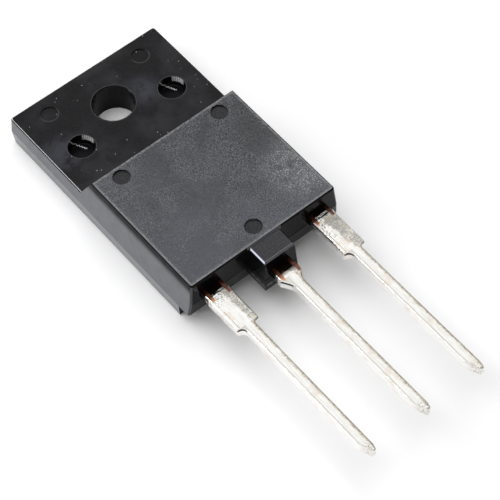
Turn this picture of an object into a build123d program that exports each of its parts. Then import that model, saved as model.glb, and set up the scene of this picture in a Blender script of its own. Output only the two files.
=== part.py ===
"""Power transistor in a fully moulded three-lead package, with a screw hole in its tab.

The origin is on the screw hole's axis at the back face. +Y runs to the tab's end, the leads
run to -Y, and +Z is the marked side. Sizes are in millimetres and angles in degrees.
"""
import os
from math import radians, tan

from build123d import *

os.makedirs("parts", exist_ok=True)

# Housing
body_width = 15.5  # across the parting line of the sides
body_height = 5.5
moulding_length = 24.5  # tab end to lead end, without the boss
tab_length = 10.0  # tab end to the foot of the shoulder slope
tab_height = 3.0
shoulder_slope = 60.0  # of the wall between the tab and the body
side_parting_height = 1.5
undercut_length = 1.5  # the back face stops this far short of the lead end
undercut_height = 1.5
upper_draft = 6.0
lower_draft = 4.0
tab_end_draft = 2.0
lead_end_draft = 1.5
lead_end_lower_draft = 7.5
tab_corner_radius = 0.25
body_corner_radius = 0.25
body_edge_radius = 0.2
tab_edge_radius = 0.12

# Screw hole
hole_diameter = 3.6
hole_to_tab_end = 4.4
hole_rim_chamfer = 0.1

# Marks left in the housing by the mould's pins
support_pin_diameter = 2.4
support_pin_tip_diameter = 2.2
support_pin_depth = 1.1
support_pin_tip_chamfer = 0.1
support_pin_spacing = 9.5
support_pin_y = -1.9
ejector_diameter = 1.5
tab_ejector_depth = 0.1
tab_ejector_spacing = 9.6
tab_ejector_inset = 1.8  # from the tab end
body_ejector_depth = 0.18
body_ejector_spacing = 10.1
body_ejector_inset = 1.05  # from the top of the shoulder slope
boss_side_ejector_inset = 1.4  # from the lead end

# Boss round the middle lead
boss_width = 3.36  # at its parting line
boss_length = 2.0
boss_top = 5.35
boss_parting_height = 2.35
boss_bottom = 1.6
boss_upper_draft = 3.0
boss_lower_draft = 5.0
boss_edge_radius = 0.15

# Lead frame
lead_underside = 3.1  # also the parting line of the lead end
lead_thickness = 0.9
lead_pitch = 5.45
lead_reach = 19.22  # from the housing's lead end to the tips
lead_width = 0.95
tip_width = 0.3  # left flat between the two bevels of the cut-off tip
tip_offset = 0.19  # of that flat, towards +X
tip_long_bevel = 1.3  # along the lead, on its -X side
tip_short_bevel = 0.5
shoulder_width = 2.0
outer_shoulder_length = 4.55
middle_shoulder_length = 3.25
middle_taper = 0.9  # along the lead, from the shoulder down to its width
notch_radius = 0.45
lead_edge_radius = 0.12
bond_pad_width = 3.4
bond_pad_length = 2.2
bond_pad_cover = 1.0  # of moulding between a bond pad and the lead end
header_thickness = 1.2
header_underside = 0.6
header_width = 13.0
header_end_cover = 3.4  # of moulding between the header and the lead end
header_tab_cover = 2.5  # of moulding between the header's arms and the tab end
header_screw_gap = 1.4  # of moulding between the screw hole and the header
header_corner_radius = 0.8
crank_width = 3.0
crank_run = 2.0  # along Y, from the header up to the lead

# Chip and bond wires
chip_size = 5.0
chip_thickness = 0.3
chip_setback = 4.8  # of its centre from the header's lead side
solder_thickness = 0.06
solder_margin = 0.15
base_wire_diameter = 0.3
emitter_wire_diameter = 0.5
wire_foot_length = 1.0
wire_foot_sink = 0.3  # share of the wire's radius that bonding presses flat
wire_loop_rise = 0.5  # over the bond pads
wire_loop_crown = 1.2  # level stretch at the top of a loop

# Places that follow from the sizes above
tab_end = hole_to_tab_end
lead_end = tab_end - moulding_length
slope_foot = tab_end - tab_length
slope_top = slope_foot - (body_height - tab_height) / tan(radians(shoulder_slope))
undercut_end = lead_end + undercut_length
lead_top = lead_underside + lead_thickness
header_top = header_underside + header_thickness
chip_top = header_top + solder_thickness + chip_thickness
header_end = lead_end + header_end_cover
chip_y = header_end + chip_setback
reach = 2 * max(body_width, moulding_length)  # longer than any cut through the housing
tiny = 0.001  # for telling edges apart by their place


def inset(height, draft):
    """How far a face leans in over a height."""
    return height * tan(radians(draft))


def upright(edge):
    """True for an edge that climbs more than it runs."""
    climb = edge @ 1 - edge @ 0
    return abs(climb.Z) > abs(climb.X) + abs(climb.Y)


def lead_plan(centre, shoulder_length, inner_end, taper=0.0):
    """Plan of a stamped lead, from its tip to its inner end inside the housing."""
    tip = lead_end - lead_reach
    notch = lead_end - shoulder_length
    with BuildSketch(Plane.XY.offset(lead_underside)) as plan:
        with BuildLine():
            Polyline(
                (centre - lead_width / 2, inner_end),
                (centre - lead_width / 2, tip + tip_long_bevel),
                (centre + tip_offset - tip_width / 2, tip),
                (centre + tip_offset + tip_width / 2, tip),
                (centre + lead_width / 2, tip + tip_short_bevel),
                (centre + lead_width / 2, inner_end),
                close=True,
            )
        make_face()
        with Locations((centre, notch)):
            Rectangle(shoulder_width, inner_end - notch, align=(Align.CENTER, Align.MIN))
        if taper:
            with BuildLine():
                Polyline(
                    (centre - shoulder_width / 2, notch),
                    (centre + shoulder_width / 2, notch),
                    (centre + lead_width / 2, notch - taper),
                    (centre - lead_width / 2, notch - taper),
                    close=True,
                )
            make_face()
        waist = plan.vertices().filter_by(lambda v: abs(abs(v.X - centre) - lead_width / 2) < tiny)
        waist = waist.filter_by(lambda v: abs(v.Y - notch + taper) < tiny)
        fillet(waist, notch_radius)
    return plan.sketch


# Outer leads, each with a bond pad inside the housing. All tips are cut the same way round.
pad_near = lead_end + bond_pad_cover
pad_far = pad_near + bond_pad_length
with BuildPart() as base_lead:
    add(lead_plan(-lead_pitch, outer_shoulder_length, pad_far))
    with BuildSketch(Plane.XY.offset(lead_underside)):
        with Locations((-lead_pitch, pad_near)):
            Rectangle(bond_pad_width, bond_pad_length, align=(Align.CENTER, Align.MIN))
    extrude(amount=lead_thickness)
    fillet(base_lead.faces().sort_by(Axis.Z)[-1].edges(), lead_edge_radius)

with BuildPart() as emitter_lead:
    add(base_lead.part.moved(Location((2 * lead_pitch, 0, 0))))

# Middle lead, crank and header, stamped and bent from one strip
with BuildPart() as collector_frame:
    with BuildSketch(Plane.XY.offset(header_underside)):
        arm_end = tab_end - header_tab_cover
        with Locations((0, header_end)):
            RectangleRounded(
                header_width, arm_end - header_end, header_corner_radius, align=(Align.CENTER, Align.MIN)
            )
        gap_radius = hole_diameter / 2 + header_screw_gap
        Circle(gap_radius, mode=Mode.SUBTRACT)
        Rectangle(2 * gap_radius, reach, align=(Align.CENTER, Align.MIN), mode=Mode.SUBTRACT)
    extrude(amount=header_thickness)
    with BuildSketch(Plane.YZ):
        with BuildLine():
            Polyline(
                (header_end + lead_thickness, header_top),
                (header_end, header_top),
                (header_end - crank_run, lead_top),
                (lead_end, lead_top),
                (lead_end, lead_underside),
                (header_end - crank_run, lead_underside),
                (header_end, header_top - lead_thickness),
                (header_end + lead_thickness, header_top - lead_thickness),
                close=True,
            )
        make_face()
    extrude(amount=crank_width / 2, both=True)
    add(lead_plan(0, middle_shoulder_length, lead_end + lead_thickness, middle_taper))
    extrude(amount=lead_thickness)
    fillet(collector_frame.faces().sort_by(Axis.Z)[-1].edges(), lead_edge_radius)

# Chip, soldered to the header
with BuildPart() as die_attach_solder:
    with BuildSketch(Plane.XY.offset(header_top)):
        with Locations((0, chip_y)):
            Rectangle(chip_size + 2 * solder_margin, chip_size + 2 * solder_margin)
    extrude(amount=solder_thickness)

with BuildPart() as transistor_chip:
    with BuildSketch(Plane.XY.offset(header_top + solder_thickness)):
        with Locations((0, chip_y)):
            Rectangle(chip_size, chip_size)
    extrude(amount=chip_thickness)


def wire_route(chip_x, pad_x, diameter):
    """Bends of a bond wire: a foot on the chip, a loop with a level crown, a foot on the pad."""
    lift = (1 - wire_foot_sink) * diameter / 2
    chip_foot = Vector(chip_x, chip_y, chip_top + lift)
    pad_foot = Vector(pad_x, pad_near + bond_pad_length / 2, lead_top + lift)
    along = Vector(pad_foot.X - chip_foot.X, pad_foot.Y - chip_foot.Y).normalized()
    middle = (chip_foot + pad_foot) / 2
    crown = Vector(middle.X, middle.Y, pad_foot.Z + wire_loop_rise)
    return [
        chip_foot,
        chip_foot + along * wire_foot_length,
        crown - along * wire_loop_crown / 2,
        crown + along * wire_loop_crown / 2,
        pad_foot - along * wire_foot_length,
        pad_foot,
    ]


with BuildPart() as base_bond_wire:
    base_route = wire_route(-chip_size / 4, -lead_pitch, base_wire_diameter)
    with BuildLine():
        Polyline(*base_route)
    with BuildSketch(Plane(origin=base_route[0], z_dir=base_route[1] - base_route[0])):
        Circle(base_wire_diameter / 2)
    sweep(transition=Transition.RIGHT)
    add([transistor_chip.part, base_lead.part], mode=Mode.SUBTRACT)

with BuildPart() as emitter_bond_wire:
    emitter_route = wire_route(chip_size / 4, lead_pitch, emitter_wire_diameter)
    with BuildLine():
        Polyline(*emitter_route)
    with BuildSketch(Plane(origin=emitter_route[0], z_dir=emitter_route[1] - emitter_route[0])):
        Circle(emitter_wire_diameter / 2)
    sweep(transition=Transition.RIGHT)
    add([transistor_chip.part, emitter_lead.part], mode=Mode.SUBTRACT)

# Housing: its side profile crossed with its front section, moulded round the frame
with BuildPart() as moulded_body:
    with BuildSketch(Plane.YZ):
        with BuildLine():
            Polyline(
                (tab_end - inset(side_parting_height, lower_draft), 0),
                (tab_end, side_parting_height),
                (tab_end - inset(tab_height - side_parting_height, tab_end_draft), tab_height),
                (slope_foot, tab_height),
                (slope_top, body_height),
                (lead_end + inset(body_height - lead_underside, lead_end_draft), body_height),
                (lead_end, lead_underside),
                (lead_end + inset(lead_underside - undercut_height, lead_end_lower_draft), undercut_height),
                (undercut_end, undercut_height),
                (undercut_end + inset(undercut_height, lower_draft), 0),
                close=True,
            )
        make_face()
    extrude(amount=body_width, both=True)
    half_width = body_width / 2
    top_half_width = half_width - inset(body_height - side_parting_height, upper_draft)
    back_half_width = half_width - inset(side_parting_height, lower_draft)
    with BuildSketch(Plane.XZ):
        with BuildLine():
            Polyline(
                (-back_half_width, 0),
                (-half_width, side_parting_height),
                (-top_half_width, body_height),
                (top_half_width, body_height),
                (half_width, side_parting_height),
                (back_half_width, 0),
                close=True,
            )
        make_face()
    extrude(amount=reach, both=True, mode=Mode.INTERSECT)
    standing = moulded_body.edges().filter_by(upright)
    fillet(standing.filter_by(lambda e: e.center().Y > 0), tab_corner_radius)
    standing = moulded_body.edges().filter_by(upright)
    fillet(standing.filter_by(lambda e: e.center().Y < undercut_end), body_corner_radius)
    fillet(moulded_body.faces().sort_by(Axis.Z)[-1].edges(), body_edge_radius)

    tab_face = moulded_body.faces().filter_by(Axis.Z).sort_by(lambda f: abs(f.center().Z - tab_height))[0]
    fillet(tab_face.edges().filter_by(lambda e: e.center().Y > slope_foot + tiny), tab_edge_radius)

    # Boss round the middle lead, drafted both ways from its parting line
    with BuildSketch(Plane.XY.offset(boss_parting_height)) as boss_plan:
        with Locations((0, lead_end - boss_length)):
            Rectangle(boss_width, 2 * boss_length, align=(Align.CENTER, Align.MIN))
    extrude(boss_plan.sketch, amount=boss_top - boss_parting_height, taper=boss_upper_draft)
    extrude(
        boss_plan.sketch,
        amount=boss_parting_height - boss_bottom,
        dir=(0, 0, -1),
        taper=boss_lower_draft,
    )
    boss_face = moulded_body.faces().filter_by(Axis.Z).sort_by(lambda f: abs(f.center().Z - boss_top))[0]
    boss_edges = boss_face.edges().filter_by(lambda e: e.center().Y < lead_end - tiny)
    fillet(boss_edges, boss_edge_radius)

    # Screw hole and the pits that the mould's pins leave
    with Locations((0, 0, tab_height)):
        Hole(hole_diameter / 2)
    with Locations((0, support_pin_y, tab_height)), GridLocations(support_pin_spacing, 0, 2, 1):
        Cone(
            support_pin_tip_diameter / 2,
            support_pin_diameter / 2,
            support_pin_depth,
            align=(Align.CENTER, Align.CENTER, Align.MAX),
            mode=Mode.SUBTRACT,
        )
    with Locations((0, tab_end - tab_ejector_inset, tab_height)), GridLocations(tab_ejector_spacing, 0, 2, 1):
        Cylinder(
            ejector_diameter / 2,
            tab_ejector_depth,
            align=(Align.CENTER, Align.CENTER, Align.MAX),
            mode=Mode.SUBTRACT,
        )
    body_ejector_y = slope_top - body_ejector_inset
    with Locations(
        (-body_ejector_spacing / 2, body_ejector_y, body_height),
        (body_ejector_spacing / 2, body_ejector_y, body_height),
        (0, lead_end + boss_side_ejector_inset, body_height),
    ):
        Cylinder(
            ejector_diameter / 2,
            body_ejector_depth,
            align=(Align.CENTER, Align.CENTER, Align.MAX),
            mode=Mode.SUBTRACT,
        )
    rounds = moulded_body.edges().filter_by(GeomType.CIRCLE)
    pin_floor = tab_height - support_pin_depth
    chamfer(rounds.filter_by(lambda e: abs(e.center().Z - pin_floor) < tiny), support_pin_tip_chamfer)
    hole_rims = rounds.filter_by(lambda e: abs(e.radius - hole_diameter / 2) < tiny)
    chamfer(hole_rims.sort_by(Axis.Z)[-1], hole_rim_chamfer)

    # Cavities that the frame, the chip and the wires fill
    add(
        [
            collector_frame.part,
            base_lead.part,
            emitter_lead.part,
            die_attach_solder.part,
            transistor_chip.part,
            base_bond_wire.part,
            emitter_bond_wire.part,
        ],
        mode=Mode.SUBTRACT,
    )

moulded_body.part.label = "moulded_body"
collector_frame.part.label = "collector_frame"
base_lead.part.label = "base_lead"
emitter_lead.part.label = "emitter_lead"
transistor_chip.part.label = "transistor_chip"
die_attach_solder.part.label = "die_attach_solder"
base_bond_wire.part.label = "base_bond_wire"
emitter_bond_wire.part.label = "emitter_bond_wire"

export_step(moulded_body.part, "parts/moulded_body.step")
export_step(collector_frame.part, "parts/collector_frame.step")
export_step(base_lead.part, "parts/base_lead.step")
export_step(emitter_lead.part, "parts/emitter_lead.step")
export_step(transistor_chip.part, "parts/transistor_chip.step")
export_step(die_attach_solder.part, "parts/die_attach_solder.step")
export_step(base_bond_wire.part, "parts/base_bond_wire.step")
export_step(emitter_bond_wire.part, "parts/emitter_bond_wire.step")
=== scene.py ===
# %% [markdown]
# # A moulded power transistor
# This file dresses a power transistor: a black epoxy housing, moulded round a stamped copper
# frame whose three tinned leads stick out of one end. The solids come ready made and in place.
# Here they get their finishes, thin skins of tin on the leads, a floor, lamps and a camera.

# %% Load the solids
import math
from types import SimpleNamespace

import bmesh
import bpy
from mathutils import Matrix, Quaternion, Vector
from mathutils.noise import noise as solid_noise


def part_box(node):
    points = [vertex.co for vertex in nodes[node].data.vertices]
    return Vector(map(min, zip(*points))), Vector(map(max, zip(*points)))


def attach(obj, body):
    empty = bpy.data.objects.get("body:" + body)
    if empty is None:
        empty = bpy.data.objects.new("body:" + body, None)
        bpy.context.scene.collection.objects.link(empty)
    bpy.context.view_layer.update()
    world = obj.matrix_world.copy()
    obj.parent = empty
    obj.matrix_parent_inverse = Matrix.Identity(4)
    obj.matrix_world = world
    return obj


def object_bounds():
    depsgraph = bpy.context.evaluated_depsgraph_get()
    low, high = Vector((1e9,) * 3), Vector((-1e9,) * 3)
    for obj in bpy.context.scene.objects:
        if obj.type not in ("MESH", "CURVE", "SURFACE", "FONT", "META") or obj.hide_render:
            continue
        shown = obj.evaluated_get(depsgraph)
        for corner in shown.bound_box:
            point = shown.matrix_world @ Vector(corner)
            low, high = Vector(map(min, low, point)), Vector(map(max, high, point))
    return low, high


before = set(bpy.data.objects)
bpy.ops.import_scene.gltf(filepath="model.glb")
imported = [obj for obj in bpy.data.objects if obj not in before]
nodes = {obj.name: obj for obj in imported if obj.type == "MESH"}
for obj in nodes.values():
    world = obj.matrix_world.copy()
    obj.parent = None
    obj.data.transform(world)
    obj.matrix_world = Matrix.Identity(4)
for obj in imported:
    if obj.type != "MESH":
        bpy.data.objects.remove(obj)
cad_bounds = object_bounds()
MM = 0.001
for name in sorted(nodes):
    low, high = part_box(name)
    print(name, [round(v / MM, 2) for v in (*low, *high)])

# %% [markdown]
# Most places below are worked out from the solids themselves. The finishes work in
# millimetres, so the places that they use are given in millimetres as well.

# %% Places that the solids give
housing_low, housing_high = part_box("moulded_body")
base_low, base_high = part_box("base_lead")
whole_low, whole_high = (Vector(corner) for corner in cad_bounds)
whole_centre = (whole_low + whole_high) / 2
housing_points = [v.co for v in nodes["moulded_body"].data.vertices]
tab_top = max(p.z for p in housing_points if p.y > 0)
body_top = housing_high.z
lead_end = min(p.y for p in housing_points if abs(p.x) > 5 * MM)
boss_front = housing_low.y
plateau = [p for p in housing_points if p.z > body_top - 0.01 * MM]
outer_lead_x = (base_low.x + base_high.x) / 2
print("whole part, mm:", [round(v / MM, 2) for v in (whole_high - whole_low)])
print("leads, mm:", [round(v / MM, 2) for v in (outer_lead_x, lead_end, boss_front)])

# %% Places in millimetres, for the finishes
tab_z, body_z = tab_top / MM, body_top / MM
lead_z, underside_z = base_high.z / MM, base_low.z / MM
end_y, tip_y = lead_end / MM, whole_low.y / MM
far_y = max(p.y for p in plateau) / MM
near_y = min(p.y for p in plateau) / MM
side_x = max(p.x for p in plateau) / MM
boss_half_width = 1.68
hole_radius = 1.8
pit_x, pit_y, pit_radius = 4.75, -1.9, 1.2
mark_x, mark_y, mark_radius = 4.8, 2.6, 0.75
print("marked face, mm:", [round(v, 2) for v in (side_x, near_y, far_y, body_z)])
print("lead's height, mm:", [round(v, 2) for v in (underside_z, lead_z)])

# %% [markdown]
# The part is small, so it is seen through a long lens from close by: from the left of the lead
# end, looking steeply down, with the camera rolled a little.

# %% Camera
view_azimuth = math.radians(-36.33)
view_elevation = math.radians(56.36)
view_roll = math.radians(-3.44)
view_distance = 170.95 * MM
aim = Vector((whole_centre.x + 0.54 * MM, whole_centre.y + 0.13 * MM, whole_low.z))
sight = Vector(
    (
        math.sin(view_azimuth) * math.cos(view_elevation),
        -math.cos(view_azimuth) * math.cos(view_elevation),
        math.sin(view_elevation),
    )
)
camera_data = bpy.data.cameras.new("camera")
camera_data.sensor_width = 36
camera_data.lens = 150.86
camera_data.clip_start = 0.01
camera_data.clip_end = 10
camera = bpy.data.objects.new("camera", camera_data)
bpy.context.scene.collection.objects.link(camera)
camera.location = aim + sight * view_distance
camera.rotation_mode = "QUATERNION"
camera.rotation_quaternion = (-sight).to_track_quat("-Z", "Y") @ Quaternion((0, 0, 1), view_roll)
bpy.context.scene.camera = camera
print("camera at, mm:", [round(v / MM, 1) for v in camera.location])

# %% [markdown]
# A material is a small network of nodes. Helpers add a node, link it and return its output, so
# that a finish reads as a few lines of what it is made of. The floor and the sky need only the
# helpers here. The others follow where the housing first needs them.

# %% Helpers: a material and its numbers
def new_finish(name):
    """A material with a Principled shader: the material, its node tree and that shader."""
    finish = bpy.data.materials.new(name)
    finish.use_nodes = True
    return finish, finish.node_tree, finish.node_tree.nodes["Principled BSDF"]


def feed(tree, socket, value):
    """Link an output to a socket, or set the socket to a plain value."""
    if isinstance(value, bpy.types.NodeSocket):
        tree.links.new(value, socket)
    else:
        socket.default_value = value


def calculate(tree, operation, *values):
    """Output of a Math node."""
    node = tree.nodes.new("ShaderNodeMath")
    node.operation = operation
    for socket, value in zip(node.inputs, values):
        feed(tree, socket, value)
    return node.outputs[0]


def rise(tree, value, start, end):
    """0 up to start, 1 from end on, with a smooth step between. start may be above end."""
    node = tree.nodes.new("ShaderNodeMapRange")
    node.interpolation_type = "SMOOTHSTEP"
    feed(tree, node.inputs["Value"], value)
    feed(tree, node.inputs["From Min"], start)
    feed(tree, node.inputs["From Max"], end)
    return node.outputs["Result"]


# %% Helpers: mixing
def blend(tree, factor, first, second):
    """Mix of two numbers: the first where factor is 0, the second where it is 1."""
    node = tree.nodes.new("ShaderNodeMix")
    feed(tree, node.inputs[0], factor)
    feed(tree, node.inputs[2], first)
    feed(tree, node.inputs[3], second)
    return node.outputs[0]


def either(tree, *masks):
    """The largest of the masks."""
    result = masks[0]
    for mask in masks[1:]:
        result = calculate(tree, "MAXIMUM", result, mask)
    return result


# %% [markdown]
# The floor is one large pale sheet. Round the object it comes out white under the plain light,
# and only the object's own shadow darkens it there.

# %% Floor
below_object = 0.005 * MM
floor_mesh = bpy.data.meshes.new("floor")
floor_shape = bmesh.new()
bmesh.ops.create_grid(floor_shape, x_segments=1, y_segments=1, size=1.0)
bmesh.ops.translate(
    floor_shape, vec=(0, 0, whole_low.z - below_object), verts=floor_shape.verts
)
floor_shape.to_mesh(floor_mesh)
floor_shape.free()
floor = bpy.data.objects.new("floor", floor_mesh)
bpy.context.scene.collection.objects.link(floor)
pale_floor, _, floor_shader = new_finish("pale_floor")
floor_shader.inputs["Base Color"].default_value = (0.95, 0.95, 0.955, 1)
floor_shader.inputs["Roughness"].default_value = 0.9
floor_shader.inputs["Specular IOR Level"].default_value = 0.0
floor_mesh.materials.append(pale_floor)
print("floor at, mm:", round((whole_low.z - below_object) / MM, 3))

# %% [markdown]
# The light is plain and soft. Most of it comes from a broad lamp high beyond the tab, so the
# housing's shadow falls on the floor under the leads, and a smaller lamp to the left draws
# thin glints along the rounded edges. The camera sees a white sky. A gloss sees a sky that is
# white high up and dusky near the horizon, and it doesn't see the broad lamp: so the tin has
# bright and dull sides, and keeps its tones.

# %% World
sky_fill = 0.34
gloss_zenith = (-0.36, 0.15, 0.92)
gloss_horizon = 0.18
world = bpy.data.worlds.new("sky")
bpy.context.scene.world = world
world.use_nodes = True
sky = world.node_tree
background = sky.nodes["Background"]
rays = sky.nodes.new("ShaderNodeLightPath")
seen = either(
    sky,
    rays.outputs["Is Camera Ray"], rays.outputs["Is Glossy Ray"],
    rays.outputs["Is Transmission Ray"],
)
direction = sky.nodes.new("ShaderNodeTexCoord")
to_zenith = sky.nodes.new("ShaderNodeVectorMath")
to_zenith.operation = "DOT_PRODUCT"
sky.links.new(direction.outputs["Generated"], to_zenith.inputs[0])
to_zenith.inputs[1].default_value = gloss_zenith
dusk = rise(sky, to_zenith.outputs["Value"], 0.0, 0.56)
dusk = calculate(sky, "MULTIPLY_ADD", dusk, 1 - gloss_horizon, gloss_horizon)
dusk = blend(sky, rays.outputs["Is Camera Ray"], dusk, 1.0)
feed(sky, background.inputs["Strength"], blend(sky, seen, sky_fill, dusk))
background.inputs["Color"].default_value = (1, 1, 1, 1)
print("sky: fill", sky_fill, "and at a gloss's horizon", gloss_horizon)


# %% Lamps
def soft_lamp(name, azimuth, elevation, distance, size, radiance):
    """A round area lamp that faces the object. Azimuth 0 is beyond the tab, 90 to the left."""
    turn, tilt = math.radians(azimuth), math.radians(elevation)
    towards = Vector(
        (-math.sin(turn) * math.cos(tilt), math.cos(turn) * math.cos(tilt), math.sin(tilt))
    )
    data = bpy.data.lights.new(name, "AREA")
    data.shape = "DISK"
    data.size = size
    data.energy = radiance * (math.pi * size / 2) ** 2
    lamp = bpy.data.objects.new(name, data)
    lamp.location = aim + towards * distance
    lamp.rotation_mode = "QUATERNION"
    lamp.rotation_quaternion = (-towards).to_track_quat("-Z", "Y")
    bpy.context.scene.collection.objects.link(lamp)
    return lamp


broad_lamp = soft_lamp("broad_lamp", 12, 69, 0.6, 0.9, 2.2)
broad_lamp.visible_glossy = False
glint_lamp = soft_lamp("glint_lamp", 61, 22, 0.6, 0.08, 30.0)
for lamp in (broad_lamp, glint_lamp):
    print(lamp.name, "at, mm:", [round(v / MM) for v in lamp.location])

# %% [markdown]
# A finish needs to know where on the piece it is and which way the surface looks, and it mixes
# noises, spots and masks into its colours. Places and sizes in them are in millimetres.

# %% Helpers: places and directions
def place_in_mm(tree):
    """Object coordinates in millimetres: the whole vector, then x, y and z."""
    coordinates = tree.nodes.new("ShaderNodeTexCoord")
    scaled = tree.nodes.new("ShaderNodeVectorMath")
    scaled.operation = "SCALE"
    tree.links.new(coordinates.outputs["Object"], scaled.inputs[0])
    scaled.inputs["Scale"].default_value = 1 / MM
    parts = tree.nodes.new("ShaderNodeSeparateXYZ")
    tree.links.new(scaled.outputs[0], parts.inputs[0])
    return scaled.outputs[0], *parts.outputs


def facing(tree):
    """x, y and z of the surface's normal."""
    geometry = tree.nodes.new("ShaderNodeNewGeometry")
    parts = tree.nodes.new("ShaderNodeSeparateXYZ")
    tree.links.new(geometry.outputs["Normal"], parts.inputs[0])
    return tuple(parts.outputs)


def radius_from(tree, x, y, centre_x, centre_y):
    """Distance in the plan from an upright axis, and the two offsets."""
    across = calculate(tree, "SUBTRACT", x, centre_x)
    along = calculate(tree, "SUBTRACT", y, centre_y)
    across_square = calculate(tree, "MULTIPLY", across, across)
    square = calculate(tree, "MULTIPLY_ADD", along, along, across_square)
    return calculate(tree, "SQRT", square), across, along


def measured_along(tree, place, course):
    """How far a place, given by its three coordinates, lies along a course."""
    total = calculate(tree, "MULTIPLY", place[0], course[0])
    total = calculate(tree, "MULTIPLY_ADD", place[1], course[1], total)
    return calculate(tree, "MULTIPLY_ADD", place[2], course[2], total)


# %% Helpers: masks and colours
def both(tree, *masks):
    """1 only where every mask is 1."""
    result = masks[0]
    for mask in masks[1:]:
        result = calculate(tree, "MULTIPLY", result, mask)
    return result


def band(tree, value, start, end, soft=0.02):
    """1 between start and end, 0 beyond them, with soft borders."""
    return both(
        tree,
        rise(tree, value, start - soft, start + soft),
        rise(tree, value, end + soft, end - soft),
    )


def blend_colour(tree, factor, first, second):
    """Mix of two colours, given as sockets or as (red, green, blue)."""
    node = tree.nodes.new("ShaderNodeMix")
    node.data_type = "RGBA"
    feed(tree, node.inputs[0], factor)
    for socket, colour in ((node.inputs[6], first), (node.inputs[7], second)):
        feed(tree, socket, colour if isinstance(colour, bpy.types.NodeSocket) else (*colour, 1))
    return node.outputs[2]


# %% Helpers: textures
def noise(tree, vector, scale, detail=2.0, roughness=0.5):
    """Factor of a Noise texture, with scale in lumps per millimetre."""
    node = tree.nodes.new("ShaderNodeTexNoise")
    tree.links.new(vector, node.inputs["Vector"])
    node.inputs["Scale"].default_value = scale
    node.inputs["Detail"].default_value = detail
    node.inputs["Roughness"].default_value = roughness
    return node.outputs["Fac"]


def stretch(tree, vector, *factors):
    """The vector with each coordinate times its own factor."""
    node = tree.nodes.new("ShaderNodeVectorMath")
    node.operation = "MULTIPLY"
    tree.links.new(vector, node.inputs[0])
    node.inputs[1].default_value = factors
    return node.outputs[0]


def dots(tree, vector, scale, radius, share):
    """Scattered spots: 1 within radius of a cell's point, in the given share of the cells."""
    node = tree.nodes.new("ShaderNodeTexVoronoi")
    tree.links.new(vector, node.inputs["Vector"])
    node.inputs["Scale"].default_value = scale
    chance = tree.nodes.new("ShaderNodeSeparateXYZ")
    tree.links.new(node.outputs["Color"], chance.inputs[0])
    near = rise(tree, node.outputs["Distance"], radius, radius * 0.6)
    return both(tree, near, rise(tree, chance.outputs[0], share, share - 0.01))


# %% Helpers: relief, and giving a solid its finish
def bump(tree, height, depth):
    """Normal of a surface raised by height, 0 to 1, times a depth in millimetres."""
    node = tree.nodes.new("ShaderNodeBump")
    feed(tree, node.inputs["Height"], height)
    node.inputs["Distance"].default_value = depth * MM
    return node.outputs["Normal"]


def dress(name, finish):
    """Give a solid one finish, in place of any that it has."""
    nodes[name].data.materials.clear()
    nodes[name].data.materials.append(finish)


# %% [markdown]
# The housing is one shot of black epoxy, yet its faces look different. The marked face is
# eroded in the mould to a fine matte grain, with paler specks of filler and a paler border, worn
# and with a painted highlight. The tab and the walls are smoother, and the lead end and the pits
# are polished. One material tells them apart by place and by the way each face looks.

# %% Housing: where each finish goes
black_epoxy, epoxy, epoxy_shader = new_finish("black_epoxy")
spot, x, y, z = place_in_mm(epoxy)
facing_x, facing_y, facing_z = facing(epoxy)
sideways = calculate(epoxy, "ABSOLUTE", x)
leaning = calculate(epoxy, "ABSOLUTE", facing_x)
level = rise(epoxy, facing_z, 0.9, 0.985)
on_plateau = both(epoxy, level, rise(epoxy, z, body_z - 0.08, body_z - 0.03))
on_lower_tops = both(epoxy, level, band(epoxy, z, body_z - 0.3, body_z - 0.1))
on_tab = both(epoxy, level, band(epoxy, z, tab_z - 0.15, tab_z + 0.1))
# A face that leans sideways is a side wall far from the middle, and the boss's side near it.
upright_side = rise(epoxy, leaning, 0.9, 0.97)
side_wall = both(epoxy, upright_side, rise(epoxy, sideways, 5.0, 6.0))
undercut_wall = both(epoxy, side_wall, rise(epoxy, facing_z, 0.02, -0.02))
boss = both(
    epoxy,
    rise(epoxy, y, end_y - 0.02, end_y - 0.06),
    rise(epoxy, sideways, boss_half_width + 0.1, boss_half_width + 0.05),
)
inner_side = both(epoxy, upright_side, rise(epoxy, sideways, 2.2, 2.1))
at_end_wall = rise(epoxy, y, end_y + 0.1, end_y + 0.05)
polished = either(
    epoxy, rise(epoxy, facing_y, -0.9, -0.97), boss, both(epoxy, inner_side, at_end_wall)
)
print("finishes told apart at heights, mm:", [round(v, 2) for v in (tab_z, body_z)])

# %% Housing: edges and borders, and painted highlights on edges
# A shoulder line is a painted highlight: the light that an edge's rounding catches on its left
# side.
from_far = calculate(epoxy, "SUBTRACT", far_y, y)
from_near = calculate(epoxy, "SUBTRACT", y, near_y)
from_side = calculate(epoxy, "SUBTRACT", side_x, sideways)
from_border = calculate(
    epoxy, "MINIMUM", from_side, calculate(epoxy, "MINIMUM", from_far, from_near)
)
outward = either(epoxy, leaning, calculate(epoxy, "MULTIPLY", facing_y, -1))
# Where an edge rounds over, the surface is painted near black: a painted dark reflection.
rounding_painted_dark = both(
    epoxy, rise(epoxy, outward, 0.2, 0.4), rise(epoxy, facing_z, 0.12, 0.22),
    rise(epoxy, facing_z, 0.93, 0.85),
)
edge_highlight_band = band(epoxy, facing_z, 0.9, 0.985, 0.012)
tab_edge_highlight = both(
    epoxy, edge_highlight_band, rise(epoxy, facing_x, -0.05, -0.15),
    rise(epoxy, z, tab_z + 0.1, tab_z),
)
body_edge_highlight = both(
    epoxy, edge_highlight_band, rise(epoxy, z, tab_z, tab_z + 0.5),
    rise(epoxy, facing_x, 0.12, 0.06),
)
# The boss's top left edge gets a painted highlight as well.
boss_edge_highlight = both(
    epoxy, boss, rise(epoxy, facing_x, -0.1, -0.3), rise(epoxy, facing_z, 0.15, 0.4),
    rise(epoxy, facing_z, 0.99, 0.95),
)
print("edges told apart:", len(epoxy.nodes), "nodes so far")

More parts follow.
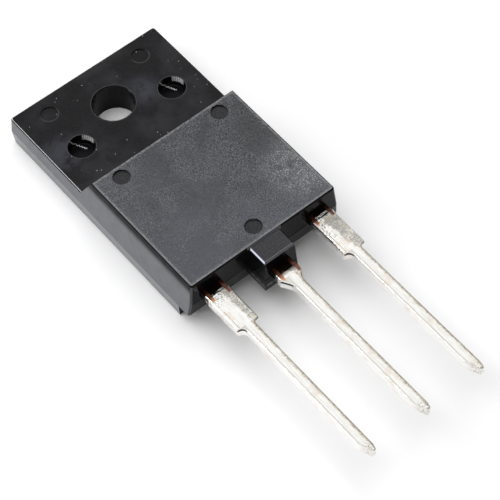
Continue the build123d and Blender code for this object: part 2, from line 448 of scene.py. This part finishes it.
# %% Housing: the hole, the pits and the tab's marks
hole_reach, _, _ = radius_from(epoxy, x, y, 0.0, 0.0)
nearest_pit = calculate(epoxy, "MULTIPLY", calculate(epoxy, "SIGN", x), pit_x)
pit_reach, pit_across, pit_along = radius_from(epoxy, x, y, nearest_pit, pit_y)
below_tab = rise(epoxy, z, tab_z, tab_z - 0.04)
in_pit = both(epoxy, below_tab, rise(epoxy, pit_reach, pit_radius + 0.08, pit_radius + 0.03))
in_hole = both(epoxy, below_tab, rise(epoxy, hole_reach, hole_radius + 0.04, hole_radius))
upright = rise(epoxy, facing_z, 0.6, 0.4)
rims = both(
    epoxy, on_tab,
    either(
        epoxy,
        band(epoxy, pit_reach, pit_radius, pit_radius + 0.05, 0.03),
        band(epoxy, hole_reach, hole_radius + 0.06, hole_radius + 0.14, 0.03),
    ),
)
nearest_mark = calculate(epoxy, "MULTIPLY", calculate(epoxy, "SIGN", x), mark_x)
mark_reach, _, _ = radius_from(epoxy, x, y, nearest_mark, mark_y)
mark_rims = both(
    epoxy, on_tab, band(epoxy, mark_reach, mark_radius, mark_radius + 0.09, 0.03),
    rise(epoxy, calculate(epoxy, "SUBTRACT", mark_y, y), -0.35, 0.3),
)
print("hole, pits and marks told apart:", len(epoxy.nodes), "nodes so far")

# %% Housing: painted glints in the pits
# A painted highlight on each pit's wall is broken into a fine grid of columns and rows.
columns_per_radian, rows_per_mm = 40.0, 55.0
pit_angle = calculate(epoxy, "ARCTAN2", pit_across, pit_along)
columns = calculate(epoxy, "MULTIPLY", pit_angle, columns_per_radian)
shine_lines = calculate(epoxy, "SINE", columns)
shine_rows = calculate(epoxy, "SINE", calculate(epoxy, "MULTIPLY", z, rows_per_mm))
shine_grid = calculate(epoxy, "MINIMUM", shine_lines, shine_rows)
pit_painted_highlight = both(
    epoxy, in_pit, upright, band(epoxy, pit_angle, 0.65, 1.6, 0.08),
    rise(epoxy, z, tab_z - 0.6, tab_z - 0.55),
    rise(epoxy, shine_grid, -1.0, -0.6),
)

# A painted glint, thin and bright, zigzags across each pit, from its rim down to its floor.
tooth, tooth_slope = 0.12, 0.8
glint_course = Vector((0.43, -0.9, 0.0)).normalized()
glint_plane = sight.cross(glint_course).normalized()
glint_foot = (
    calculate(epoxy, "SUBTRACT", pit_across, 0.3),
    calculate(epoxy, "SUBTRACT", pit_along, 0.95),
    calculate(epoxy, "SUBTRACT", z, tab_z - 1.1),
)
glint_run = measured_along(epoxy, glint_foot, glint_course)
zigzag = calculate(epoxy, "PINGPONG", glint_run, tooth)
off_plane = measured_along(epoxy, glint_foot, glint_plane)
glint_offset = calculate(epoxy, "MULTIPLY_ADD", zigzag, tooth_slope, off_plane)
pit_painted_glint = both(
    epoxy, in_pit, band(epoxy, glint_offset, -0.02, 0.05, 0.02),
    band(epoxy, glint_run, -0.8, 0.75, 0.1),
)
print("glints placed:", len(epoxy.nodes), "nodes so far")

# %% [markdown]
# The housing's colours come next, each face's own on top of the last: first the noises that
# they share, then the marked face, the tab, the walls, the lead end, and the painted light on
# edges.

# %% Housing: the noises that its colours share
grain_scale, coarse_scale, haze_scale = 10.5, 1.1, 0.28
grain = noise(epoxy, spot, grain_scale, 4.0, 0.78)
coarse = noise(epoxy, spot, coarse_scale, 3.0, 0.6)
haze = noise(epoxy, spot, haze_scale, 3.0, 0.6)
print("lumps per mm:", grain_scale, coarse_scale, haze_scale)

# %% Housing: the marked face
lower_left = calculate(
    epoxy, "MULTIPLY_ADD", x, -0.03, calculate(epoxy, "MULTIPLY", y, -0.035)
)
cloud = rise(epoxy, calculate(epoxy, "ADD", lower_left, haze), 0.6, 1.4)
worn_corner, _, _ = radius_from(epoxy, x, y, 6.8, -16.5)
rubbed = both(epoxy, rise(epoxy, worn_corner, 4.0, 1.2), rise(epoxy, coarse, 0.25, 0.55))
matte = blend_colour(
    epoxy, rise(epoxy, grain, 0.4, 0.61), (0.004, 0.004, 0.006), (0.124, 0.128, 0.138)
)
dim = rise(epoxy, noise(epoxy, spot, 0.2, 4.0, 0.65), 0.56, 0.42)
matte = blend_colour(epoxy, both(epoxy, dim, 0.6), matte, (0.03, 0.03, 0.031))
matte = blend_colour(epoxy, both(epoxy, cloud, 0.5), matte, (0.092, 0.098, 0.118))
matte = blend_colour(epoxy, both(epoxy, rise(epoxy, coarse, 0.5, 0.8), 0.4), matte, (0.1, 0.1, 0.1))
speck_field = rise(epoxy, noise(epoxy, spot, 0.4, 1.0, 0.5), 0.35, 0.7)
specks = both(epoxy, dots(epoxy, spot, 5.5, 0.3, 0.45), speck_field)
matte = blend_colour(epoxy, both(epoxy, specks, 0.7), matte, (0.22, 0.22, 0.21))
matte = blend_colour(epoxy, both(epoxy, rubbed, 0.6), matte, (0.135, 0.138, 0.146))
rubbed_specks = either(epoxy, dots(epoxy, spot, 7.5, 0.36, 0.6), rise(epoxy, grain, 0.57, 0.64))
matte = blend_colour(epoxy, both(epoxy, rubbed, rubbed_specks), matte, (0.46, 0.465, 0.475))
scratches = dots(epoxy, stretch(epoxy, spot, 0.35, 3.5, 1.0), 1.0, 0.13, 0.16)
scratches = both(epoxy, scratches, rise(epoxy, grain, 0.35, 0.6))
matte = blend_colour(epoxy, both(epoxy, scratches, 0.7), matte, (0.24, 0.24, 0.245))
# The marked face's border is paler: wear, and a painted highlight where the edge starts to round.
worn_and_highlit_border = both(epoxy, rise(epoxy, from_border, 0.22, 0.04), rise(epoxy, grain, 0.38, 0.6))
matte = blend_colour(epoxy, worn_and_highlit_border, matte, (0.24, 0.24, 0.25))
print("marked face coloured:", len(epoxy.nodes), "nodes so far")

# %% Housing: the tab's smooth face
smear, _, _ = radius_from(epoxy, x, y, 2.7, -0.5)
corner_smear, _, _ = radius_from(epoxy, x, y, -6.3, -1.5)
smears = either(epoxy, rise(epoxy, smear, 2.2, 0.3), rise(epoxy, corner_smear, 2.6, 0.4))
smears = both(epoxy, smears, rise(epoxy, coarse, 0.3, 0.6))
smooth = blend_colour(
    epoxy, rise(epoxy, haze, 0.4, 0.7), (0.006, 0.006, 0.007), (0.02, 0.02, 0.022)
)
smooth = blend_colour(epoxy, smears, smooth, (0.035, 0.036, 0.046))
faint_grain = both(epoxy, rise(epoxy, grain, 0.4, 0.7), 0.35)
smooth = blend_colour(epoxy, faint_grain, smooth, (0.03, 0.03, 0.031))
dust_place = rise(epoxy, noise(epoxy, spot, 0.5, 1.0, 0.5), 0.5, 0.56)
dust = both(epoxy, dots(epoxy, spot, 3.2, 0.16, 0.22), dust_place)
dust = either(epoxy, dust, dots(epoxy, spot, 1.3, 0.085, 0.35))
smooth = blend_colour(epoxy, dust, smooth, (0.4, 0.4, 0.4))
smooth = blend_colour(epoxy, rims, smooth, (0.06, 0.06, 0.064))
smooth = blend_colour(epoxy, mark_rims, smooth, (0.045, 0.045, 0.046))
print("tab coloured:", len(epoxy.nodes), "nodes so far")

# %% Housing: tops and walls
nearly_black = (0.003, 0.003, 0.004)
lower_tops = blend_colour(
    epoxy, rise(epoxy, grain, 0.38, 0.64), (0.005, 0.005, 0.006), (0.042, 0.042, 0.045)
)
colour = blend_colour(epoxy, on_plateau, (0.012, 0.012, 0.013), matte)
colour = blend_colour(epoxy, on_lower_tops, colour, lower_tops)
colour = blend_colour(epoxy, on_tab, colour, smooth)
wall_top = both(
    epoxy, rise(epoxy, z, body_z - 1.35, body_z - 0.45), rise(epoxy, grain, 0.2, 0.4)
)
wall = blend_colour(
    epoxy, rise(epoxy, grain, 0.35, 0.65), (0.085, 0.088, 0.098), (0.112, 0.116, 0.13)
)
wall = blend_colour(epoxy, wall_top, wall, nearly_black)
colour = blend_colour(epoxy, side_wall, colour, wall)
undercut = blend_colour(
    epoxy, rise(epoxy, coarse, 0.3, 0.7), (0.1, 0.103, 0.113), (0.122, 0.126, 0.138)
)
colour = blend_colour(epoxy, undercut_wall, colour, undercut)
print("tops and walls coloured:", len(epoxy.nodes), "nodes so far")

# %% Housing: the lead end and the boss
flash_glint_low, flash_glint_high = 2.31, 2.41
parting = both(
    epoxy, polished, band(epoxy, z, underside_z - 0.05, underside_z + 0.04, 0.02)
)
colour = blend_colour(epoxy, polished, colour, nearly_black)
below_parting = both(epoxy, polished, rise(epoxy, z, underside_z, underside_z - 0.1))
colour = blend_colour(epoxy, below_parting, colour, (0.006, 0.006, 0.007))
colour = blend_colour(epoxy, parting, colour, (0.0, 0.0, 0.0))
# A broken pale line round the boss at this height is resin flash, painted bright as a glint.
flash_and_glint = both(
    epoxy, boss, band(epoxy, z, flash_glint_low, flash_glint_high, 0.02),
    rise(epoxy, noise(epoxy, spot, 2.5, 2.0, 0.5), 0.42, 0.55),
)
colour = blend_colour(epoxy, flash_and_glint, colour, (0.3, 0.3, 0.31))
boss_top = blend_colour(
    epoxy, rise(epoxy, grain, 0.38, 0.64), (0.03, 0.03, 0.032), (0.058, 0.058, 0.064)
)
colour = blend_colour(epoxy, both(epoxy, boss, level), colour, boss_top)
print("lead end and boss coloured:", len(epoxy.nodes), "nodes so far")

# %% Housing: holes, painted shade and highlights on edges, and painted glints
# Above the boss, the face that looks to the lead end is painted paler: painted light on a face in
# shade.
above_boss_painted_light = both(
    epoxy, rise(epoxy, facing_y, -0.5, -0.8), rise(epoxy, z, body_z - 0.4, body_z - 0.3),
    rise(epoxy, sideways, boss_half_width + 0.05, boss_half_width),
)
far_border = rise(epoxy, from_far, 0.4, 0.2)
patchy = blend(epoxy, far_border, 1.0, rise(epoxy, coarse, 0.45, 0.65))
body_edge_highlight = both(epoxy, body_edge_highlight, patchy)
colour = blend_colour(epoxy, either(epoxy, in_pit, in_hole), colour, nearly_black)
colour = blend_colour(epoxy, rounding_painted_dark, colour, nearly_black)
colour = blend_colour(epoxy, above_boss_painted_light, colour, (0.12, 0.12, 0.13))
# Painted highlights along the top edges of the walls, the tab and the boss.
colour = blend_colour(epoxy, body_edge_highlight, colour, (0.2, 0.2, 0.21))
colour = blend_colour(epoxy, tab_edge_highlight, colour, (0.8, 0.8, 0.82))
colour = blend_colour(epoxy, boss_edge_highlight, colour, (0.62, 0.68, 0.8))
colour = blend_colour(epoxy, pit_painted_highlight, colour, (0.9, 0.9, 0.92))
colour = blend_colour(epoxy, pit_painted_glint, colour, (0.7, 0.68, 0.68))
feed(epoxy, epoxy_shader.inputs["Base Color"], colour)
print("edges and glints coloured:", len(epoxy.nodes), "nodes so far")

# %% [markdown]
# Gloss follows the same masks. The marked face is matte and has a fine relief, the tab and the
# walls are smoother, and the strip under the walls mirrors the floor.

# %% Housing: gloss and grain
roughness = blend(epoxy, on_plateau, 0.28, 0.62)
roughness = blend(epoxy, on_tab, roughness, 0.25)
roughness = blend(epoxy, polished, roughness, 0.1)
roughness = calculate(epoxy, "MULTIPLY_ADD", rise(epoxy, coarse, 0.3, 0.7), 0.12, roughness)
feed(epoxy, epoxy_shader.inputs["Roughness"], roughness)
specular = blend(epoxy, on_tab, 0.5, 0.12)
specular = blend(epoxy, both(epoxy, side_wall, wall_top), specular, 0.05)
specular = blend(epoxy, on_lower_tops, specular, 0.2)
specular = blend(epoxy, undercut_wall, specular, 1.0)
specular = blend(epoxy, polished, specular, 0.09)
specular = blend(epoxy, either(epoxy, in_pit, in_hole, rounding_painted_dark, boss), specular, 0.1)
specular = blend(epoxy, parting, specular, 0.0)
feed(epoxy, epoxy_shader.inputs["Specular IOR Level"], specular)
feed(epoxy, epoxy_shader.inputs["IOR"], blend(epoxy, undercut_wall, 1.5, 1.75))
grain_height = blend(epoxy, on_plateau, 0.0, grain)
feed(epoxy, epoxy_shader.inputs["Normal"], bump(epoxy, grain_height, 0.02))
dress("moulded_body", black_epoxy)
print("moulded_body finished with", black_epoxy.name)

# %% [markdown]
# The leads are copper, dipped in tin after moulding. The tin stops short of the housing: at
# the root each edge shows a strip of bare copper, and the middle is painted near black as a
# painted reflection of the housing. The dip left the shoulders lumpy, brighter on one side and
# dull and speckled on the other.

# %% Tinned leads: measures
# The middle lead's shoulder is short, and has a dark blob. Lengths are in millimetres, apart
# from centre and root, which are in metres as the solids are.
LONG_SHOULDER, SHORT_SHOULDER = 4.55, 1.25
print("shoulders, mm:", LONG_SHOULDER, SHORT_SHOULDER)


def lead_measures(tree, centre, root, shoulder):
    """What a lead's finish is made of: places along and across it, masks and noises.

    centre is the x of its centre line and root the y where it leaves the housing, in metres.
    """
    lead = SimpleNamespace(tree=tree)
    lead.spot, x, lead.y, lead.z = place_in_mm(tree)
    lead.facing_x, _, lead.facing_z = facing(tree)
    lead.offset = calculate(tree, "SUBTRACT", x, centre / MM)
    lead.along = calculate(tree, "SUBTRACT", root / MM, lead.y)
    lead.ripple = noise(tree, lead.spot, 1.6, 3.0, 0.6)
    lead.fine = noise(tree, lead.spot, 6.0, 4.0, 0.7)
    lead.streaks = noise(tree, stretch(tree, lead.spot, 5.0, 0.7, 5.0), 1.0, 3.0, 0.6)
    lead.on_shoulder = rise(tree, lead.along, shoulder + 0.1, shoulder - 0.1)
    lead.on_top = rise(tree, lead.facing_z, 0.75, 0.95)
    return lead


# %% Tinned leads: bare copper at the root
def bare_copper(lead, tin_start):
    """Copper's colour, and a mask that is 1 where tin covers it."""
    tree, along, offset = lead.tree, lead.along, lead.offset
    across = calculate(tree, "ABSOLUTE", offset)
    edge_strip = both(
        tree, rise(tree, across, 0.58, 0.66), rise(tree, across, 0.97, 0.9), lead.on_top
    )
    elsewhere = blend(tree, lead.on_top, 0.2, tin_start - 0.7)
    bare_until = blend(tree, edge_strip, elsewhere, tin_start)
    bare_until = calculate(tree, "MULTIPLY_ADD", lead.ripple, 0.5, bare_until)
    tinned = rise(tree, calculate(tree, "SUBTRACT", along, bare_until), -0.06, 0.06)

    # The copper is darker towards the root. Its left side is painted lighter, as painted light, and
    # its right side darker, as painted shade.
    copper = blend_colour(
        tree, rise(tree, along, 0.2, 1.3), (0.05, 0.014, 0.008), (0.5, 0.22, 0.12)
    )
    lit_copper = both(tree, rise(tree, along, 0.9, 1.4), rise(tree, offset, 0.3, -0.3))
    copper = blend_colour(tree, lit_copper, copper, (0.76, 0.44, 0.25))
    copper_painted_shade = both(tree, rise(tree, offset, 0.0, 0.5), rise(tree, along, 0.2, 0.8))
    copper = blend_colour(tree, copper_painted_shade, copper, (0.24, 0.11, 0.085))
    # Between the copper strips the root is painted near black: a painted reflection of the dark
    # housing.
    root_painted_reflection = (0.006, 0.004, 0.003)
    return blend_colour(tree, edge_strip, root_painted_reflection, copper), tinned


# %% Tinned leads: the shoulder's dull side
def dull_side(lead, tin, dull_from):
    """Tin with the shoulder's dull and speckled side, and a mask of that side.

    dull_from is the offset from the centre line beyond which the tin is dull.
    """
    tree, along, fine = lead.tree, lead.along, lead.fine
    slant = calculate(tree, "MULTIPLY_ADD", along, 0.06, dull_from)
    slant = calculate(tree, "MULTIPLY_ADD", rise(tree, lead.ripple, 0.3, 0.7), 0.35, slant)
    past_slant = calculate(tree, "SUBTRACT", lead.offset, slant)
    dull = both(
        tree, lead.on_shoulder, lead.on_top, rise(tree, past_slant, -0.08, 0.08),
        rise(tree, along, 0.6, 1.1),
    )
    mottled = blend_colour(
        tree, rise(tree, fine, 0.42, 0.58), (0.54, 0.52, 0.46), (1.0, 0.98, 0.9)
    )
    patches = rise(tree, noise(tree, lead.spot, 2.2, 3.0, 0.65), 0.46, 0.6)
    mottled = blend_colour(tree, both(tree, patches, 0.5), mottled, (0.46, 0.46, 0.47))
    brown_specks = rise(tree, noise(tree, lead.spot, 9.0, 2.0, 0.6), 0.62, 0.68)
    mottled = blend_colour(tree, brown_specks, mottled, (0.3, 0.22, 0.14))
    return blend_colour(tree, dull, tin, mottled), dull


# %% Tinned leads: crusts and stains
def crusts(lead, tin, shoulder, crust_reach):
    """Tin with a crust that reaches crust_reach from the root, stains and a groove."""
    tree, along, ripple = lead.tree, lead.along, lead.ripple
    near_root = rise(tree, along, crust_reach, crust_reach - 1.6)
    crust_place = both(tree, lead.on_shoulder, lead.on_top, near_root)
    crust = both(tree, crust_place, rise(tree, lead.fine, 0.48, 0.62))
    tin = blend_colour(tree, crust, tin, (0.4, 0.39, 0.36))
    if shoulder < LONG_SHOULDER:
        blob = both(
            tree, lead.on_top, rise(tree, along, 1.15, 0.85), rise(tree, ripple, 0.35, 0.5)
        )
        tin = blend_colour(tree, blob, tin, (0.2, 0.195, 0.17))
    warm = rise(tree, noise(tree, lead.spot, 0.9, 2.0, 0.5), 0.56, 0.68)
    tin = blend_colour(tree, both(tree, warm, 0.35), tin, (0.85, 0.68, 0.55))
    groove = both(
        tree, lead.on_shoulder, lead.on_top, rise(tree, along, 1.2, 1.6),
        band(tree, lead.offset, -0.84, -0.78, 0.03),
    )
    groove = both(tree, groove, rise(tree, ripple, 0.3, 0.6))
    return blend_colour(tree, groove, tin, (0.42, 0.4, 0.36)), crust_place


# %% Tinned leads: edges, tip and notch
def lead_edges(lead, tin, shoulder, notch_length):
    """Tin with the tones of its edges and of its tip, and painted shade in the notch behind the
    shoulder.
    """
    tree, offset, fine, facing_z = lead.tree, lead.offset, lead.fine, lead.facing_z
    narrow = rise(tree, lead.on_shoulder, 0.6, 0.3)
    right_edge = both(
        tree, narrow, rise(tree, facing_z, 0.15, 0.3),
        rise(tree, calculate(tree, "MULTIPLY_ADD", lead.ripple, 0.35, offset), 0.34, 0.5),
    )
    edge_tone = blend_colour(
        tree, rise(tree, fine, 0.35, 0.6), (0.42, 0.35, 0.26), (0.8, 0.74, 0.64)
    )
    tin = blend_colour(tree, right_edge, tin, edge_tone)
    left_edge = both(tree, narrow, lead.on_top, rise(tree, offset, -0.26, -0.34))
    tin = blend_colour(tree, both(tree, left_edge, 0.5), tin, (0.5, 0.49, 0.42))
    near_tip = rise(tree, calculate(tree, "SUBTRACT", lead.y, tip_y), 1.3, 0.3)
    tip_stains = both(tree, near_tip, rise(tree, fine, 0.4, 0.65))
    tin = blend_colour(tree, tip_stains, tin, (0.5, 0.45, 0.38))
    edge_turn = band(tree, facing_z, 0.4, 0.95, 0.03)
    tin = blend_colour(tree, both(tree, edge_turn, 0.25), tin, (0.5, 0.47, 0.4))
    # The notch behind the shoulder is painted near black: painted shade in the recess.
    notch_painted_shade = both(
        tree, band(tree, lead.along, shoulder - 0.05, shoulder + notch_length),
        rise(tree, facing_z, 0.4, 0.2), rise(tree, lead.z, lead_z - 0.36, lead_z - 0.28),
    )
    return blend_colour(tree, notch_painted_shade, tin, (0.02, 0.015, 0.01))


# %% Tinned leads: the whole finish
def tinned_lead(name, centre, root, shoulder, notch_length, tin_start, dull_from, crust_reach):
    """Tin over copper for one lead. tin_start is how far from the root the tin begins."""
    finish, tree, shader = new_finish(name)
    lead = lead_measures(tree, centre, root, shoulder)
    copper, tinned = bare_copper(lead, tin_start)
    tin = blend_colour(
        tree, rise(tree, lead.streaks, 0.3, 0.7), (1.0, 0.995, 0.97), (0.9, 0.885, 0.84)
    )
    # Faces that look to the left are painted paler: painted light from the left.
    tin = blend_colour(tree, rise(tree, lead.facing_x, -0.6, -0.9), tin, (0.98, 0.97, 0.95))
    tin, dull = dull_side(lead, tin, dull_from)
    tin, crust_place = crusts(lead, tin, shoulder, crust_reach)
    tin = lead_edges(lead, tin, shoulder, notch_length)

    feed(tree, shader.inputs["Base Color"], blend_colour(tree, tinned, copper, tin))
    shader.inputs["Metallic"].default_value = 1.0
    shine = blend(tree, dull, 0.22, 0.5)
    feed(tree, shader.inputs["Roughness"], blend(tree, tinned, 0.4, shine))
    faint_streaks = calculate(tree, "MULTIPLY", lead.streaks, 0.5)
    folds = blend(tree, lead.on_shoulder, faint_streaks, lead.ripple)
    pitting = blend(tree, crust_place, 0.06, 0.5)
    relief = calculate(tree, "MULTIPLY_ADD", lead.fine, pitting, folds)
    feed(tree, shader.inputs["Normal"], bump(tree, relief, 0.07))
    print(name, "has", len(tree.nodes), "nodes")
    return finish


# %% Finish the three leads
finishes = {
    "base_lead": tinned_lead(
        "base_lead_tin", outer_lead_x, lead_end, LONG_SHOULDER,
        notch_length=0.5, tin_start=1.15, dull_from=-0.05, crust_reach=2.6,
    ),
    "collector_frame": tinned_lead(
        "collector_lead_tin", 0.0, boss_front, SHORT_SHOULDER,
        notch_length=0.9, tin_start=1.15, dull_from=0.1, crust_reach=1.6,
    ),
    "emitter_lead": tinned_lead(
        "emitter_lead_tin", -outer_lead_x, lead_end, LONG_SHOULDER,
        notch_length=0.5, tin_start=0.85, dull_from=-0.45, crust_reach=3.6,
    ),
}
for name, finish in finishes.items():
    dress(name, finish)
print("leads finished:", sorted(finishes))

# %% [markdown]
# The dip leaves a skin of tin with lumps near the root, soft edges and rounded tips. Each
# skin is a run of rounded sections along its lead, a little larger than the lead itself.

# %% How wide a lead is
# Half widths, the radius of the notch behind a long shoulder, and how long the tip narrows for
# on each side. All are in millimetres, as are the lengths below, apart from centre and root.
HALF_LEAD, HALF_SHOULDER, NOTCH_RADIUS = 0.475, 1.0, 0.45
LEFT_BEVEL, RIGHT_BEVEL = 1.3, 0.5


def half_widths(place, length, shoulder, taper):
    """Half widths of a lead to its left and right, at a place along it.

    place is how far from the root, as is the end of the shoulder. Behind the shoulder, taper is
    how long the lead narrows for, or 0 where a round notch does it.
    """
    if place <= shoulder:
        left = right = HALF_SHOULDER
    elif taper:
        part = min((place - shoulder) / (taper + 0.3), 1.0)
        part = part * (2.0 - part)
        left = right = HALF_SHOULDER + (HALF_LEAD - HALF_SHOULDER) * part
    else:
        drop = min((place - shoulder) / NOTCH_RADIUS, 1.0)
        left = right = HALF_LEAD + NOTCH_RADIUS * (1.0 - math.sqrt(1.0 - (1.0 - drop) ** 2))
    to_tip = length - place
    if to_tip < LEFT_BEVEL:
        left = HALF_LEAD - 0.515 * (1.0 - to_tip / LEFT_BEVEL)
    if to_tip < RIGHT_BEVEL:
        right = HALF_LEAD - 0.135 * (1.0 - to_tip / RIGHT_BEVEL)
    return left, right


print("half width at a long shoulder:", half_widths(1.0, 19.0, LONG_SHOULDER, 0.0))


# %% A rounded section
def rounded_section(left, right, low, high, top_radius, low_radius):
    """Points round a rounded rectangle, as (across, height), from its top left corner on."""
    corners = (
        (-left + top_radius, high - top_radius, 180, top_radius),
        (right - top_radius, high - top_radius, 90, top_radius),
        (right - low_radius, low + low_radius, 0, low_radius),
        (-left + low_radius, low + low_radius, -90, low_radius),
    )
    rings = []
    for across, height, start, radius in corners:
        angles = [math.radians(start - step * 22.5) for step in range(5)]
        rings.append(
            [(across + radius * math.cos(a), height + radius * math.sin(a)) for a in angles]
        )
    points = []
    parts_per_side = (10, 3, 4, 3)
    for n, (ring, parts) in enumerate(zip(rings, parts_per_side)):
        points += ring
        from_x, from_z = ring[-1]
        to_x, to_z = rings[(n + 1) % 4][0]
        for step in range(1, parts):
            part = step / parts
            points.append((from_x + (to_x - from_x) * part, from_z + (to_z - from_z) * part))
    return points


print("points in a section:", len(rounded_section(1.0, 1.0, 0.0, 0.9, 0.16, 0.05)))

# %% Lumps of tin
# THIN is the skin's thickness between its lumps, LUMP is how far the lumps rise on top of it,
# and PAST_TIP how far the skin reaches past the lead's tip.
THIN, LUMP, PAST_TIP = 0.015, 0.06, 0.02


def swell_at(centre, place, across, height, high, start, shoulder):
    """How far the tin swells outward at a point of a section."""
    on_shoulder = place < shoulder
    roughly = (0.8 if on_shoulder else 0.25) + 1.2 * max(0.0, 1.0 - (place - start) / 1.5)
    spot = Vector((across + centre / MM, place, height))
    swell = 0.5 + 0.5 * solid_noise(spot * 1.5) + 0.3 * solid_noise(spot * 4.0)
    swell = max(0.0, swell) * LUMP * roughly * min(1.0, (place - start) / 0.2)
    if height > high - 0.1:
        ridge = 0.07 if on_shoulder else 0.02
        slant = 0.1 + 0.06 * place if on_shoulder else 0.05
        slant += 0.35 * solid_noise(Vector((centre / MM, place * 0.9, 0.0)))
        crest = max(0.0, 1.0 - abs(across - slant + 0.25) / 0.5)
        swell += ridge * crest * min(1.0, place - start)
    return swell


def skin_row(centre, root, place, length, start, shoulder, taper):
    """Points of one section of a skin, in metres, with its lumps.

    The skin begins inside the lead and grows out of it, and closes round the tip.
    """
    left, right = half_widths(place, length, shoulder, taper)
    growth = THIN - 0.1 * max(0.0, 1.0 - (place - start) / 0.18)
    closing = 0.07 * max(0.0, 1.0 - (length + PAST_TIP - place) / 0.15) ** 2
    left += growth - closing
    right += growth - closing
    low = underside_z - THIN + closing
    high = lead_z + growth - closing
    radius = 0.16 if left + right > 0.5 else (left + right) / 4
    middle = Vector(((right - left) / 2, (low + high) / 2))
    row = []
    for across, height in rounded_section(left, right, low, high, radius, 0.05):
        swell = swell_at(centre, place, across, height, high, start, shoulder)
        outward = (Vector((across, height)) - middle).normalized()
        row.append(
            (
                centre + (across + outward.x * swell) * MM,
                root - place * MM,
                (height + outward.y * swell) * MM,
            )
        )
    return row


print("skin, mm:", THIN, "with lumps of", LUMP)

# %% Skins of tin
SECTION_STEP = 0.09


def tin_skin(name, finish, centre, root, start, shoulder, taper):
    """A lumpy skin round one lead, from its start near the housing to the tip."""
    length = (root - whole_low.y) / MM
    steps = int((length - start) / SECTION_STEP)
    places = [start + step * SECTION_STEP for step in range(steps)] + [length + PAST_TIP]
    skin = bmesh.new()
    rows = []
    for place in places:
        points = skin_row(centre, root, place, length, start, shoulder, taper)
        rows.append([skin.verts.new(point) for point in points])
    for first, second in zip(rows, rows[1:]):
        for n in range(len(first)):
            skin.faces.new((first[n - 1], first[n], second[n], second[n - 1]))
    skin.faces.new(rows[0])
    skin.faces.new(rows[-1])
    bmesh.ops.recalc_face_normals(skin, faces=skin.faces)
    for face in skin.faces:
        face.smooth = len(face.verts) == 4
    mesh = bpy.data.meshes.new(name)
    skin.to_mesh(mesh)
    skin.free()
    mesh.materials.append(finish)
    piece = bpy.data.objects.new(name, mesh)
    bpy.context.scene.collection.objects.link(piece)
    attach(piece, "root")
    print(name, len(mesh.polygons), "faces")


tin_skin(
    "base_lead_skin", finishes["base_lead"], outer_lead_x, lead_end,
    start=0.65, shoulder=LONG_SHOULDER, taper=0.0,
)
tin_skin(
    "collector_lead_skin", finishes["collector_frame"], 0.0, boss_front,
    start=0.55, shoulder=SHORT_SHOULDER, taper=0.9,
)
tin_skin(
    "emitter_lead_skin", finishes["emitter_lead"], -outer_lead_x, lead_end,
    start=0.45, shoulder=LONG_SHOULDER, taper=0.0,
)

# %% [markdown]
# Inside the housing lie a silicon chip, the solder under it and two aluminium wires. Nothing
# of them shows from outside, but whoever cuts the housing away finds them finished as well.

# %% The chip
silicon, tree, shader = new_finish("silicon_chip")
spot, x, y, _ = place_in_mm(tree)
chip_low, chip_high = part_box("transistor_chip")
chip_x, chip_y = (chip_low.x + chip_high.x) / 2 / MM, (chip_low.y + chip_high.y) / 2 / MM
chip_half = (chip_high.x - chip_low.x) / 2 / MM
from_chip_centre = calculate(
    tree, "MAXIMUM",
    calculate(tree, "ABSOLUTE", calculate(tree, "SUBTRACT", x, chip_x)),
    calculate(tree, "ABSOLUTE", calculate(tree, "SUBTRACT", y, chip_y)),
)
_, _, facing_z = facing(tree)
inside_border = rise(tree, from_chip_centre, chip_half * 0.85, chip_half * 0.82)
pad_stripes = 9.0
pad_wave = calculate(tree, "SINE", calculate(tree, "MULTIPLY", x, pad_stripes))
on_pads = rise(tree, calculate(tree, "ABSOLUTE", pad_wave), 0.12, 0.2)
metal_pads = both(tree, rise(tree, facing_z, 0.8, 0.95), inside_border, on_pads)
oxide = blend_colour(tree, noise(tree, spot, 2.0), (0.03, 0.035, 0.06), (0.07, 0.06, 0.09))
feed(tree, shader.inputs["Base Color"], blend_colour(tree, metal_pads, oxide, (0.7, 0.7, 0.72)))
feed(tree, shader.inputs["Metallic"], metal_pads)
feed(tree, shader.inputs["Roughness"], blend(tree, metal_pads, 0.12, 0.35))
dress("transistor_chip", silicon)
print("chip finished; half its side, mm:", round(chip_half, 2))

# %% The solder and the wires
solder, tree, shader = new_finish("soft_solder")
cooled = noise(tree, place_in_mm(tree)[0], 3.0, 4.0, 0.6)
solder_tone = blend_colour(tree, cooled, (0.3, 0.3, 0.31), (0.55, 0.55, 0.56))
feed(tree, shader.inputs["Base Color"], solder_tone)
shader.inputs["Metallic"].default_value = 1.0
feed(tree, shader.inputs["Roughness"], blend(tree, cooled, 0.3, 0.6))
feed(tree, shader.inputs["Normal"], bump(tree, cooled, 0.03))
dress("die_attach_solder", solder)

drawn_wire, tree, shader = new_finish("aluminium_wire")
die_marks = noise(tree, stretch(tree, place_in_mm(tree)[0], 12.0, 0.8, 12.0), 1.0, 2.0, 0.5)
wire_tone = blend_colour(tree, die_marks, (0.74, 0.75, 0.77), (0.9, 0.91, 0.92))
feed(tree, shader.inputs["Base Color"], wire_tone)
shader.inputs["Metallic"].default_value = 1.0
feed(tree, shader.inputs["Roughness"], blend(tree, die_marks, 0.22, 0.4))
for name in ("base_bond_wire", "emitter_bond_wire"):
    dress(name, drawn_wire)
print("solder and wires finished:", solder.name, drawn_wire.name)

# %% Colour handling
bpy.context.scene.view_settings.view_transform = "Standard"
